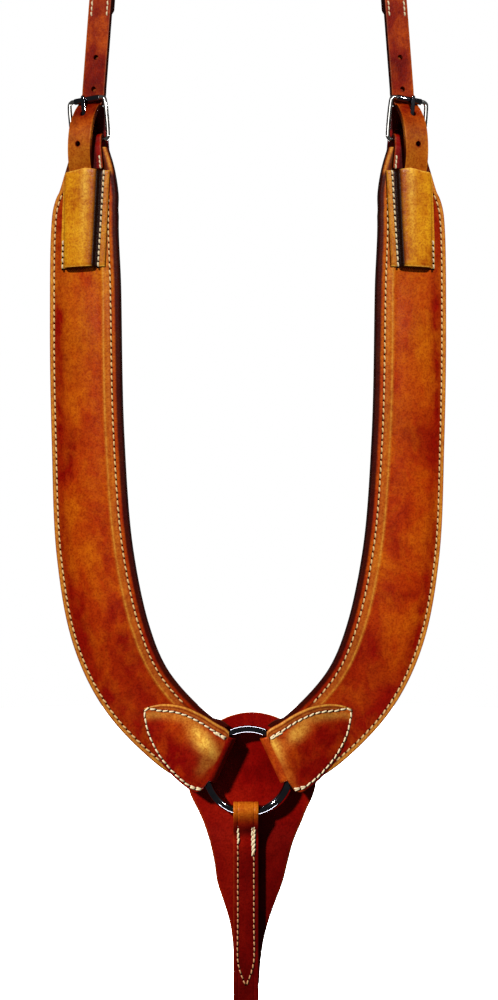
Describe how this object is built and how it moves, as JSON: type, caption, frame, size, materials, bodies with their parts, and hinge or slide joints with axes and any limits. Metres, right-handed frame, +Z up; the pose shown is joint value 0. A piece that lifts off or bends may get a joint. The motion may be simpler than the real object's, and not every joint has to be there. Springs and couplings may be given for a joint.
{
  "type": "breastplate",
  "caption": "Western pulling breast collar: padded leather shoulders, buckled tug straps, steel centre ring with leather safe, and a centre strap with a bolt snap.",
  "frame": {"origin": "middle of the steel centre ring, which is also the point that holds the part up", "axes": "+Z up along the collar as it is worn upright, -Y to the front (the outside of the collar), +X to the right seen from the front"},
  "size_m": [0.4054, 0.0486, 1.1872],
  "materials": {
    "shoulder_leather": "glossy oiled russet",
    "chape_leather": "glossy oiled russet with light highlights",
    "keeper_leather": "golden oiled harness leather",
    "strap_leather": "oiled red-brown harness leather",
    "oxblood_leather": "deep red-brown harness leather",
    "lining_leather": "smooth lining leather",
    "padding": "felt",
    "stitching": "waxed cream thread",
    "nickel": "polished nickel plate",
    "ring_steel": "polished stainless steel"
  },
  "bodies": {
    "ring": {"centre_ring": "ring_steel", "ring_safe_upper": "oxblood_leather"},
    "left_shoulder": {"left_shoulder_face": "shoulder_leather", "left_shoulder_padding": "padding", "left_shoulder_lining": "lining_leather", "left_ring_chape": "chape_leather", "left_keeper": "keeper_leather", "left_buckle_frame": "nickel", "left_buckle_chape": "strap_leather", "left_buckle_safe": "oxblood_leather", "left_tug_tail": "strap_leather"},
    "left_tug": {"left_tug_strap": "strap_leather"},
    "left_roller": {"left_buckle_roller": "nickel"},
    "left_tongue": {"left_buckle_tongue": "nickel"},
    "right_shoulder": {"right_shoulder_face": "shoulder_leather", "right_shoulder_padding": "padding", "right_shoulder_lining": "lining_leather", "right_ring_chape": "chape_leather", "right_keeper": "keeper_leather", "right_buckle_frame": "nickel", "right_buckle_chape": "strap_leather", "right_buckle_safe": "oxblood_leather", "right_tug_tail": "strap_leather"},
    "right_tug": {"right_tug_strap": "strap_leather"},
    "right_roller": {"right_buckle_roller": "nickel"},
    "right_tongue": {"right_buckle_tongue": "nickel"},
    "centre_strap": {"centre_strap": "oxblood_leather", "ring_safe_lower": "oxblood_leather"},
    "snap_eye": {"snap_eye": "nickel"},
    "snap": {"snap_body": "nickel", "snap_spring": "nickel"},
    "snap_bolt": {"snap_bolt": "nickel"}
  },
  "joints": [
    {"name": "left_shoulder_swing", "type": "hinge", "parent": "ring", "child": "left_shoulder", "pos_m": [0, 0, 0], "axis": [0, -1, 0], "range_deg": [-6, 18]},
    {"name": "left_tug_flex", "type": "hinge", "parent": "left_shoulder", "child": "left_tug", "pos_m": [-0.16313, 0.018, 0.67634], "axis": [0.9449, -0.3156, 0.0872], "range_deg": [-35, 60]},
    {"name": "left_roller_spin", "type": "hinge", "parent": "left_shoulder", "child": "left_roller", "pos_m": [-0.16313, 0.018, 0.67634], "axis": [0.9449, -0.3156, 0.0872], "continuous": true},
    {"name": "left_tongue_lift", "type": "hinge", "parent": "left_shoulder", "child": "left_tongue", "pos_m": [-0.15914, 0.01825, 0.634], "axis": [0.9449, -0.3156, 0.0872], "range_deg": [0, 3.5]},
    {"name": "right_shoulder_swing", "type": "hinge", "parent": "ring", "child": "right_shoulder", "pos_m": [0, 0, 0], "axis": [0, 1, 0], "range_deg": [-6, 18]},
    {"name": "right_tug_flex", "type": "hinge", "parent": "right_shoulder", "child": "right_tug", "pos_m": [0.16313, 0.018, 0.67634], "axis": [0.9449, 0.3156, -0.0872], "range_deg": [-35, 60]},
    {"name": "right_roller_spin", "type": "hinge", "parent": "right_shoulder", "child": "right_roller", "pos_m": [0.16313, 0.018, 0.67634], "axis": [0.9449, 0.3156, -0.0872], "continuous": true},
    {"name": "right_tongue_lift", "type": "hinge", "parent": "right_shoulder", "child": "right_tongue", "pos_m": [0.15914, 0.01825, 0.634], "axis": [0.9449, 0.3156, -0.0872], "range_deg": [0, 3.5]},
    {"name": "centre_strap_swing", "type": "hinge", "parent": "ring", "child": "centre_strap", "pos_m": [-0.002, 0, -0.0403], "axis": [1, 0, 0], "range_deg": [-60, 36]},
    {"name": "snap_swing", "type": "hinge", "parent": "centre_strap", "child": "snap_eye", "pos_m": [-0.002, 0, -0.286], "axis": [1, 0, 0], "range_deg": [-90, 90]},
    {"name": "snap_swivel", "type": "hinge", "parent": "snap_eye", "child": "snap", "pos_m": [-0.002, 0, -0.304], "axis": [0, 0, 1], "continuous": true},
    {"name": "snap_bolt_slide", "type": "slide", "parent": "snap", "child": "snap_bolt", "axis": [0, 0, 1], "range_m": [0, 0.009], "stiffness_N_per_m": 300, "springref_m": -0.004, "deforming": ["snap_spring"]}
  ]
}
